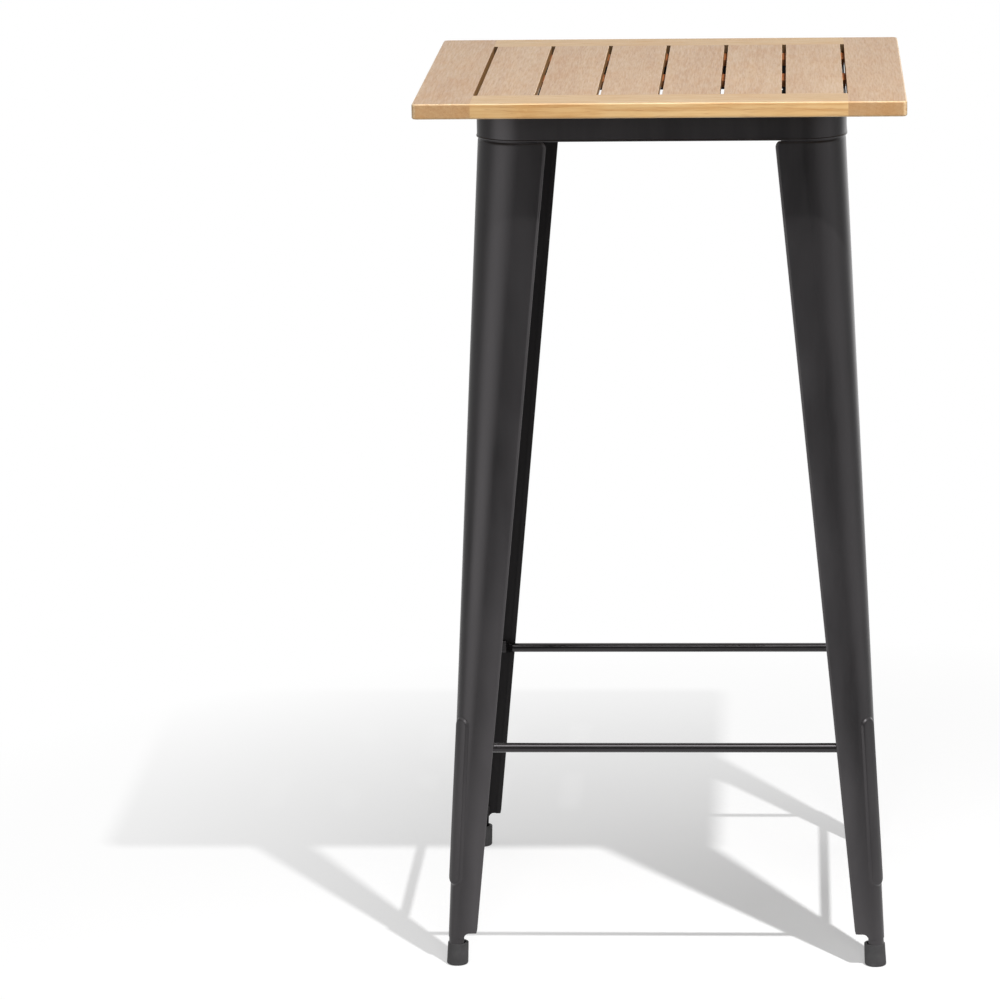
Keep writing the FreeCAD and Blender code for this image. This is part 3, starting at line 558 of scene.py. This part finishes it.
def close_seams():
    """Merge the points that meet on the piece just formed, and turn its faces outwards."""
    bpy.ops.object.mode_set(mode="EDIT")
    bpy.ops.mesh.select_all(action="SELECT")
    bpy.ops.mesh.remove_doubles(threshold=1e-6)
    bpy.ops.mesh.flip_normals()
    bpy.ops.object.mode_set(mode="OBJECT")


def make_sheet(piece, thickness):
    """Close a formed grid's seams, and give it the sheet's thickness and its coats, outside and inside."""
    for coat in (sheet_coat, thin_shaded_coat, fold_highlight_coat):
        piece.data.materials.append(coat)
    close_seams()
    wall = piece.modifiers.new("sheet", "SOLIDIFY")
    wall.thickness = thickness / 1000
    wall.offset = -1.0
    wall.material_offset = INNER - OUTER
    bpy.ops.object.modifier_apply(modifier="sheet")
    return piece


def mark_folds(piece, strips):
    """Give the folds a painted highlight coat, the hems' returns the inner coat, and mark nearness to a
    fold.
    """
    for index, face in enumerate(piece.data.polygons):
        step = min(index % strips, strips - 1 - index % strips)
        face.material_index = INNER if step < FOLD_START else FOLD_HIGHLIGHT if step < FOLD_END else OUTER
    mark = piece.data.attributes.new(FOLD_MARK, "FLOAT", "POINT")
    for index, place in enumerate(mark.data):
        step = min(index % (strips + 1), strips - index % (strips + 1))
        place.value = 1 - ease((step - FOLD_END) / FLAT_STEPS)


# %% The pattern of one leg
FINE, COARSE = 1.2, 8
PILL_MARGIN, PILL_SIDE = 4, 24
END_ROWS, SIDE_ROWS, SHOULDER_STEPS = 18, 22, 8
FOOT_LEVELS = [47, 58, 70, 84]
SHAFT_LEVELS = [345, 400, 500, 620, 760, 900, 1000]
TAIL_LEVELS = [4, 18, 34, 52]
JUST_OVER = 0.1


def spaced(start, spacing, count):
    """Levels at an even spacing."""
    return [start + spacing * step for step in range(count)]


def shoulder_level(step):
    """Levels round the shoulder, closer together towards its top."""
    turn = math.pi / 2 * step / SHOULDER_STEPS
    return SHOULDER_TOP - SHOULDER_ROUND + SHOULDER_ROUND * math.sin(turn)


levels = FOOT_LEVELS + spaced(PILL_LOW - PILL_MARGIN, FINE, END_ROWS)
levels += spaced(PILL_LOW + PILL_SIDE, COARSE, SIDE_ROWS)
levels += spaced(PILL_HIGH + PILL_MARGIN - FINE * (END_ROWS - 1), FINE, END_ROWS)
levels += SHAFT_LEVELS + [shoulder_level(step) for step in range(SHOULDER_STEPS + 1)]
levels += [SHOULDER_TOP + JUST_OVER, LEG_TOP]
sheet_rows = [formed_row(NOTCH_TOP - NOTCH_ROUND, lower_edge=True)]
sheet_rows += [formed_row(level) for level in levels]
leg = form_grid("leg_pattern", sheet_rows)
mark_folds(leg, len(sheet_rows[0]) - 1)
make_sheet(leg, SHEET)
tail = make_sheet(form_grid("tail_pattern", [tail_row(level) for level in TAIL_LEVELS]), SHEET)
bpy.ops.object.select_all(action="DESELECT")
tail.select_set(True)
leg.select_set(True)
bpy.context.view_layer.objects.active = leg
bpy.ops.object.join()
bpy.ops.object.shade_smooth_by_angle(angle=SMOOTH_ANGLE)
print("faces of one leg:", len(leg.data.polygons))

# %% [markdown]
# The four legs are one pressing, each a quarter turn from the next. The pattern could be mirrored,
# but that turns a mesh inside out, so it is turned instead. Each copy has its own mesh, with its
# place in the mesh, as the CAD nodes have.

# %% Four legs from one pattern
LEG_CORNER = 0.22735
LEG_TURNS = {
    "back_right": (1, 1, 0),
    "back_left": (-1, 1, 90),
    "front_left": (-1, -1, 180),
    "front_right": (1, -1, 270),
}


def seat(piece, node):
    """Let a formed piece stand for its CAD node."""
    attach(piece, "root")
    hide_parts(node)
    print(piece.name, "stands for", node)


def copy_to_corners(pattern, name, node):
    """Copy a pattern, each copy with its own mesh, to the four corners, and take the pattern away."""
    for corner, (right, back, turn) in LEG_TURNS.items():
        piece = bpy.data.objects.new(f"{name}_{corner}", pattern.data.copy())
        place = Matrix.Translation((right * LEG_CORNER, back * LEG_CORNER, 0))
        piece.data.transform(place @ Matrix.Rotation(math.radians(turn), 4, "Z"))
        bpy.context.scene.collection.objects.link(piece)
        seat(piece, f"{node}_{corner}")
    bpy.data.objects.remove(pattern)


copy_to_corners(leg, "pressed_leg", "leg")

# %% [markdown]
# The apron is a pressed ring: a flange that lies under the wood, a round bend, a wall, and a small
# rolled bead along the lower edge. The bead is what draws the thin light line above each leg, because
# its underside sees the pale floor. It is formed like the legs: a grid whose columns run round the
# ring and whose rows follow the profile from the bead up to the flange.

# %% The apron's profile and ring
APRON_LOW, APRON_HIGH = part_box("apron")
APRON_HALF, APRON_FOOT, APRON_TOP = (1000 * value for value in (APRON_HIGH.x, APRON_LOW.z, APRON_HIGH.z))
RING_CORNER, RING_SHEET = 57.0, 1.0
FLANGE_WIDTH, BEND_ROUND = 24.0, 0.8
BEAD_ROUND, BEAD_INSET, BEAD_START, BEAD_TURN = 1.3, 0.55, -105, 170
BEAD_STEPS, BEND_STEPS, RING_STEPS = 10, 5, 16


def apron_profile():
    """Insets from the outer face and heights, from under the bead to the flange's inner edge."""
    profile = []
    for step in range(BEAD_STEPS + 1):
        angle = math.radians(BEAD_START + BEAD_TURN * step / BEAD_STEPS)
        inset = BEAD_INSET - BEAD_ROUND * math.cos(angle)
        profile.append((inset, APRON_FOOT + BEAD_ROUND * (1 + math.sin(angle))))
    for step in range(BEND_STEPS + 1):
        angle = math.radians(90 * step / BEND_STEPS)
        height = APRON_TOP - BEND_ROUND * (1 - math.sin(angle))
        profile.append((BEND_ROUND * (1 - math.cos(angle)), height))
    return profile + [(FLANGE_WIDTH, APRON_TOP)]


def ring_row(inset, height):
    """One row round the ring, clockwise from above, closed on its first point."""
    middle = APRON_HALF - RING_CORNER
    reach = RING_CORNER - inset
    points = []
    for quarter in range(4):
        start = math.radians(90 - 90 * quarter)
        right, back = (math.copysign(middle, turn(start - math.pi / 4)) for turn in (math.cos, math.sin))
        for step in range(RING_STEPS + 1):
            angle = start - math.pi / 2 * step / RING_STEPS
            points.append((right + reach * math.cos(angle), back + reach * math.sin(angle), height))
    return [Vector(point) / 1000 for point in points + points[:1]]


apron_rows = [ring_row(*point) for point in apron_profile()]
apron = make_sheet(form_grid("pressed_apron", apron_rows), RING_SHEET)
bpy.ops.object.shade_smooth_by_angle(angle=SMOOTH_ANGLE)
seat(apron, "apron")

# %% [markdown]
# The fasteners are zinc plated, so they are metal with a soft, patchy shine. They hide in the top and
# behind the apron, and one patchy noise for colour and gloss is enough for them.

# %% Zinc
FASTENERS = ["slat_screws", "top_screws", "leg_studs", "leg_nuts"]
ZINC_PATCH = (300, 300, 300)


def zinc_finish(name):
    """Bright metal, cooler and smoother in one patch than in the next."""
    material, tree, shader = new_finish(name)
    place = add_node(tree, "ShaderNodeTexCoord").outputs["Object"]
    patch = stretched_noise(tree, place, ZINC_PATCH, 3.0)
    tone = mix_colour(tree, remap(tree, patch, *NOISE_RANGE), (0.52, 0.53, 0.55), (0.66, 0.65, 0.61))
    tree.links.new(tone, shader.inputs["Base Color"])
    tree.links.new(remap(tree, patch, *NOISE_RANGE, 0.28, 0.46), shader.inputs["Roughness"])
    shader.inputs["Metallic"].default_value = 1.0
    return material


dress(zinc_finish("zinc_plate"), *FASTENERS)

# %% [markdown]
# The foot caps are moulded rubber: matte, a little grey, with a fine dry grain. Dust lies on rubber in
# patches and dulls it, so one noise gives both the greyer colour and the rougher gloss.

# %% Rubber
RUBBER_DUST, RUBBER_GRAIN = (90, 90, 90), (1600, 1600, 1600)
GRAIN_STRENGTH, GRAIN_DEPTH = 0.2, 0.0002


def rubber_finish(name):
    """Matte black, greyer and rougher where dust lies."""
    material, tree, shader = new_finish(name)
    place = add_node(tree, "ShaderNodeTexCoord").outputs["Object"]
    dust = stretched_noise(tree, place, RUBBER_DUST, 4.0)
    grain = stretched_noise(tree, place, RUBBER_GRAIN, 1.0)
    tone = mix_colour(tree, remap(tree, dust, 0.35, 0.7), (0.041, 0.040, 0.041), (0.063, 0.061, 0.062))
    tree.links.new(tone, shader.inputs["Base Color"])
    tree.links.new(remap(tree, dust, *NOISE_RANGE, 0.62, 0.78), shader.inputs["Roughness"])
    shader.inputs["Specular IOR Level"].default_value = 0.35
    bump(tree, shader, grain, GRAIN_STRENGTH, GRAIN_DEPTH)
    return material


rubber = rubber_finish("black_rubber")
print("finish for the caps:", rubber.name)

# %% [markdown]
# A foot cap is a soft cup that grips the leg's tail and leans with it, while its floor lies flat on
# the ground. It could be turned on a lathe, but a lathe's cup stands upright. So it is formed like
# the sheets: each row of a grid is one ring of the cup, round the tail's own middle at that height.
# The rows run from the middle of the floor, up the outside, over the soft lip and down the bore. The
# tail is only half a ring, so the cup is thinner on its outer side, where it nearly meets the leg's face.

# %% Foot caps
CAP_HEIGHT, CAP_FLOOR, CAP_FOOT, CAP_LIP, CAP_BORE = 28.0, 4.0, 13.6, 13.1, 10.95
CAP_ROUND, LIP_ROUND, CAP_SHIFT = 2.4, 0.7, 1.0
CAP_STEPS, CAP_SIDES = 6, 48


def cap_profile():
    """Radius, height and inward shift of each ring, from the floor's middle to the bore's floor."""
    outside = [(0.0, 0.0), (CAP_FOOT - CAP_ROUND, 0.0)]
    for step in range(1, CAP_STEPS + 1):
        angle = math.radians(90 * step / CAP_STEPS)
        radius = CAP_FOOT - CAP_ROUND * (1 - math.sin(angle))
        outside.append((radius, CAP_ROUND * (1 - math.cos(angle))))
    for step in range(CAP_STEPS + 1):
        angle = math.radians(90 * step / CAP_STEPS)
        radius = CAP_LIP - LIP_ROUND * (1 - math.cos(angle))
        outside.append((radius, CAP_HEIGHT - LIP_ROUND * (1 - math.sin(angle))))
    bore = [(CAP_BORE, CAP_HEIGHT), (CAP_BORE, CAP_FLOOR), (0.0, CAP_FLOOR)]
    return [(*ring, CAP_SHIFT) for ring in outside] + [(*ring, 0.0) for ring in bore]


def cap_row(radius, height, shift):
    """One ring of the cup, closed on its first point."""
    middle = leg_face(height) - TAIL_RADIUS - shift
    turns = [2 * math.pi * side / CAP_SIDES for side in range(CAP_SIDES + 1)]
    return [ring_point(middle, radius, turn, height) for turn in turns]


cap = form_grid("cap_pattern", [cap_row(*point) for point in cap_profile()])
cap.data.materials.append(rubber)
close_seams()
bpy.ops.object.mode_set(mode="EDIT")
bpy.ops.mesh.select_all(action="SELECT")
bpy.ops.mesh.normals_make_consistent(inside=False)
bpy.ops.object.mode_set(mode="OBJECT")
bpy.ops.object.shade_smooth_by_angle(angle=SMOOTH_ANGLE)
print("faces of one cap:", len(cap.data.polygons))
copy_to_corners(cap, "moulded_cap", "foot_cap")

# %% [markdown]
# The studio starts with a pale floor. A large sheet of grey would show its edge, and a floor that only
# glows would lose the shadow. So near the table the floor is lit like any surface and keeps the
# shadow, with a weak glow added for the rays that show the background, and with distance from a point
# right of the table's middle it turns to plain white for those rays. The glow lifts the shadow and the
# fade pales it out with distance: painted light on the shadow.

# %% Floor
FLOOR_FRONT, FLOOR_BACK, FLOOR_SIDE = -1.4, 2.6, 1.7
FLOOR_COLOUR, FLOOR_GLOW = (0.90, 0.90, 0.90, 1.0), 0.19
FADE_MIDDLE, FADE_START, FADE_END = (0.2, -0.05, 0), 0.1, 1.45
bpy.ops.object.select_all(action="DESELECT")
bpy.ops.mesh.primitive_plane_add(size=1.0, location=(0, (FLOOR_FRONT + FLOOR_BACK) / 2, 0))
floor = bpy.context.object
floor.name = "floor"
floor.scale = (2 * FLOOR_SIDE, FLOOR_BACK - FLOOR_FRONT, 1)
bpy.ops.object.transform_apply(location=True, rotation=True, scale=True)


def empty_tree(owner):
    """The emptied node tree of a material or a world."""
    owner.use_nodes = True
    owner.node_tree.nodes.clear()
    return owner.node_tree


def seen_rays(tree):
    """One for rays that show the background: straight from the camera, mirrored, or through glass."""
    rays = add_node(tree, "ShaderNodeLightPath").outputs
    seen = calculate(tree, "ADD", rays["Is Camera Ray"], rays["Is Glossy Ray"])
    return calculate(tree, "ADD", seen, rays["Is Transmission Ray"], clamp=True)


floor_material = bpy.data.materials.new("studio_floor")
tree = empty_tree(floor_material)
place = add_node(tree, "ShaderNodeTexCoord").outputs["Object"]
seen = seen_rays(tree)
matte = add_node(tree, "ShaderNodeBsdfDiffuse", values={"Color": FLOOR_COLOUR})
glow = add_node(tree, "ShaderNodeEmission", {"Strength": calculate(tree, "MULTIPLY", seen, FLOOR_GLOW)})
near = add_node(tree, "ShaderNodeAddShader", {0: matte.outputs[0], 1: glow.outputs[0]})
white = add_node(tree, "ShaderNodeEmission", {"Strength": seen})
reach = add_node(tree, "ShaderNodeVectorMath", {0: place}, {1: FADE_MIDDLE}, operation="SUBTRACT")
length = add_node(tree, "ShaderNodeVectorMath", {0: reach.outputs["Vector"]}, operation="LENGTH")
# the fade pales the shadow with distance: painted light on the shadow
fade = remap(tree, length.outputs["Value"], FADE_START, FADE_END)
ground = add_node(tree, "ShaderNodeMixShader", {0: fade, 1: near.outputs[0], 2: white.outputs[0]})
add_node(tree, "ShaderNodeOutputMaterial", {"Surface": ground.outputs[0]})
floor.data.materials.append(floor_material)
print("floor of", 2 * FLOOR_SIDE, "by", FLOOR_BACK - FLOOR_FRONT, "metres")

# %% [markdown]
# One fairly small lamp high at the front right throws the long shadow to the left and back. A wide,
# weak lamp at the front keeps the near faces from going dull, and it is kept out of the mirrored
# picture, because its round shape would show in the satin coat.

# %% Lamps
def add_lamp(name, place, aim, size, energy):
    """A round lamp at a place, turned towards its aim."""
    data = bpy.data.lights.new(name, "AREA")
    data.shape = "DISK"
    data.size = size
    data.energy = energy
    lamp = bpy.data.objects.new(name, data)
    lamp.location = place
    lamp.rotation_euler = (Vector(aim) - Vector(place)).to_track_quat("-Z", "Y").to_euler()
    bpy.context.scene.collection.objects.link(lamp)
    print(name, "at", place, "of", energy, "watts")
    return lamp


add_lamp("key_lamp", place=(0.94, -1.75, 3.93), aim=(-0.1, 0.2, 0.5), size=0.09, energy=122.0)
front_fill = add_lamp(
    "front_fill", place=(0.3, -4.6, 1.5), aim=(0.0, 0.0, 0.8), size=2.4, energy=80.0
)
front_fill.visible_glossy = False

# %% [markdown]
# A white surround fills the shade. Black satin steel shows little but what it mirrors, so for mirrored
# rays the surround is shaped as a studio is: dim behind the camera, bright above and straight behind
# the table, with soft panels at the left front, the right and the right back, and a small bright one
# over the front, which draws the thin lines along rods and rounded edges.

# %% Surround
ROOM, DIM, OVERHEAD, FILL = 0.45, 0.30, 0.6, 0.32
ABOVE_RANGE, BEHIND_RANGE = (0.30, 0.75), (-0.25, -0.9)
Panel = namedtuple("Panel", "aim edge middle strength")
PANELS = {
    "back": Panel((0, 0.97, 0.22), 0.70, 0.95, 0.6),
    "over the front": Panel((0, -0.45, 0.89), 0.93, 0.985, 5.0),
    "left front": Panel((-0.68, -0.62, -0.40), 0.76, 0.95, 2.1),
    "right": Panel((0.88, -0.47, -0.05), 0.78, 0.96, 0.6),
    "right back": Panel((0.50, 0.86, 0.05), 0.88, 0.97, 0.9),
}
scene = bpy.context.scene
scene.world = bpy.data.worlds.new("studio_surround")
tree = empty_tree(scene.world)
rays = add_node(tree, "ShaderNodeLightPath").outputs
direction = add_node(tree, "ShaderNodeTexCoord").outputs["Generated"]
axes = add_node(tree, "ShaderNodeSeparateXYZ", {"Vector": direction}).outputs


def panel_light(panel):
    """Light from round a direction: nothing at the edge's cosine, all of it at the middle's."""
    toward = Vector(panel.aim).normalized()
    cosine = add_node(tree, "ShaderNodeVectorMath", {0: direction}, {1: toward}, operation="DOT_PRODUCT")
    return remap(tree, cosine.outputs["Value"], panel.edge, panel.middle, 0.0, panel.strength)


above = remap(tree, axes["Z"], *ABOVE_RANGE)
behind = remap(tree, axes["Y"], *BEHIND_RANGE, 0.0, DIM)
dimmed = calculate(tree, "MULTIPLY", behind, calculate(tree, "SUBTRACT", 1.0, above))
mirrored = calculate(tree, "SUBTRACT", ROOM, dimmed)
mirrored = calculate(tree, "ADD", mirrored, calculate(tree, "MULTIPLY", above, OVERHEAD))
for panel in PANELS.values():
    mirrored = calculate(tree, "ADD", mirrored, panel_light(panel))
straight = calculate(tree, "MAXIMUM", rays["Is Camera Ray"], rays["Is Transmission Ray"])
shown = calculate(tree, "MAXIMUM", straight, calculate(tree, "MULTIPLY", rays["Is Glossy Ray"], mirrored))
unseen = calculate(tree, "SUBTRACT", 1.0, seen_rays(tree))
fill = calculate(tree, "MULTIPLY", unseen, FILL)
surround = add_node(
    tree, "ShaderNodeBackground", {"Strength": calculate(tree, "ADD", shown, fill)},
    {"Color": (1.0, 1.0, 1.0, 1.0)},
)
add_node(tree, "ShaderNodeOutputWorld", {"Surface": surround.outputs[0]})
scene.view_settings.view_transform = "Standard"
print("panels in the surround:", ", ".join(PANELS))

# %% [markdown]
# The photograph was taken from far away with a long lens, a little right of the middle and about
# thirteen degrees above the level. The camera stands where its corners and feet fit best.

# %% Camera
CAMERA_PLACE = Vector((0.1599, -6.3773, 1.9656))
CAMERA_YAW, CAMERA_DIP, CAMERA_ROLL = -0.05901, 0.21935, 0.0151
SENSOR_WIDTH, LENS, FARTHEST = 36.0, 182.26, 100.0
camera_data = bpy.data.cameras.new("camera")
camera_data.sensor_width = SENSOR_WIDTH
camera_data.lens = LENS
camera_data.clip_end = FARTHEST
camera = bpy.data.objects.new("camera", camera_data)
turn = (
    Matrix.Rotation(-CAMERA_YAW, 4, "Z")
    @ Matrix.Rotation(math.pi / 2 - CAMERA_DIP, 4, "X")
    @ Matrix.Rotation(-CAMERA_ROLL, 4, "Z")
)
camera.location = CAMERA_PLACE
camera.rotation_euler = turn.to_euler()
scene.collection.objects.link(camera)
scene.camera = camera
print("camera at", tuple(round(value, 3) for value in CAMERA_PLACE))
